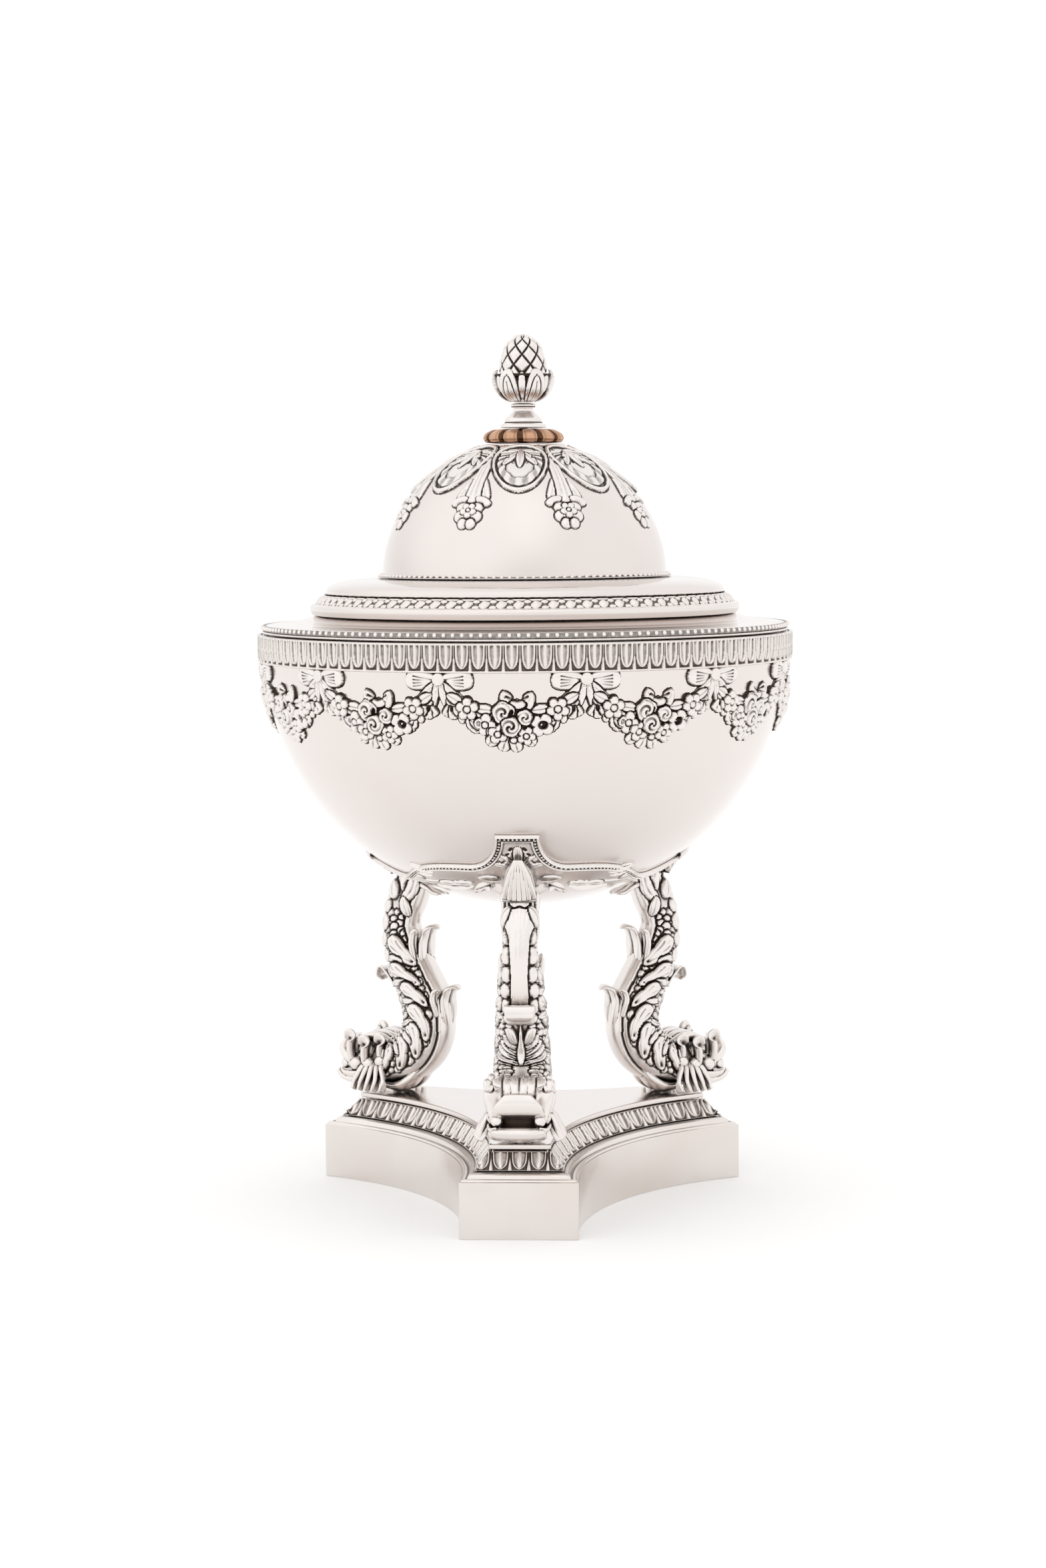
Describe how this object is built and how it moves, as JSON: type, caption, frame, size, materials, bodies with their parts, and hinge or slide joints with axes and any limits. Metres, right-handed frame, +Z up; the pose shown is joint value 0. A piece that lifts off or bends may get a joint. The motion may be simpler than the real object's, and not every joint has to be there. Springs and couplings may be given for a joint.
{
  "type": "covered silver sugar bowl",
  "caption": "Covered hemispherical silver bowl with a lift-off domed lid, carried on dolphin legs over a hollow-sided plinth.",
  "frame": {"origin": "centre of the footprint on the table, on the bowl's axis", "axes": "+Z up the bowl's axis, the front corner of the plinth toward -Y, +X to the right"},
  "size_m": [0.142, 0.142, 0.2295],
  "materials": {
    "polished_silver": "polished silver",
    "plinth_silver": "polished silver sheet, finely rubbed",
    "chased_silver": "cast and chased silver with dark oxide in the recesses",
    "gilt_collar": "brown gilt, worn, dark in the grooves",
    "fastener_metal": "plain turned metal"
  },
  "bodies": {
    "stand_and_bowl": {"bowl_shell": "polished_silver", "cradle_ring": "chased_silver", "dolphin_leg_1": "chased_silver", "dolphin_leg_2": "chased_silver", "dolphin_leg_3": "chased_silver", "garland_bow_01": "chased_silver", "garland_bow_02": "chased_silver", "garland_bow_03": "chased_silver", "garland_bow_04": "chased_silver", "garland_bow_05": "chased_silver", "garland_bow_06": "chased_silver", "garland_bow_07": "chased_silver", "garland_bow_08": "chased_silver", "garland_bow_09": "chased_silver", "garland_bow_10": "chased_silver", "garland_bow_11": "chased_silver", "garland_bow_12": "chased_silver", "garland_swag_01": "chased_silver", "garland_swag_02": "chased_silver", "garland_swag_03": "chased_silver", "garland_swag_04": "chased_silver", "garland_swag_05": "chased_silver", "garland_swag_06": "chased_silver", "garland_swag_07": "chased_silver", "garland_swag_08": "chased_silver", "garland_swag_09": "chased_silver", "garland_swag_10": "chased_silver", "garland_swag_11": "chased_silver", "garland_swag_12": "chased_silver", "leaf_strip_corner_1": "chased_silver", "leaf_strip_corner_2": "chased_silver", "leaf_strip_corner_3": "chased_silver", "leaf_strip_side_1": "chased_silver", "leaf_strip_side_2": "chased_silver", "leaf_strip_side_3": "chased_silver", "leg_nut_1": "fastener_metal", "leg_nut_2": "fastener_metal", "leg_nut_3": "fastener_metal", "leg_stud_1": "fastener_metal", "leg_stud_2": "fastener_metal", "leg_stud_3": "fastener_metal", "plinth_deck": "polished_silver", "plinth_wall": "plinth_silver", "rim_leaf_band": "chased_silver"},
    "lid": {"dome_foot_beading": "chased_silver", "finial_collar": "gilt_collar", "finial_cone": "chased_silver", "finial_disc": "polished_silver", "finial_leaf_cup": "chased_silver", "finial_nut": "fastener_metal", "finial_stem": "chased_silver", "finial_stud": "fastener_metal", "finial_washer": "fastener_metal", "lid_bezel": "polished_silver", "lid_dome": "polished_silver", "lid_domed_step": "polished_silver", "lid_edge_beading": "chased_silver", "lid_flange": "polished_silver", "lid_leaf_calyx": "chased_silver", "lid_leaf_ring": "chased_silver"}
  },
  "joints": [
    {"name": "lid_lift", "type": "slide", "parent": "stand_and_bowl", "child": "lid", "axis": [0, 0, 1], "range_m": [0, 0.08]}
  ]
}
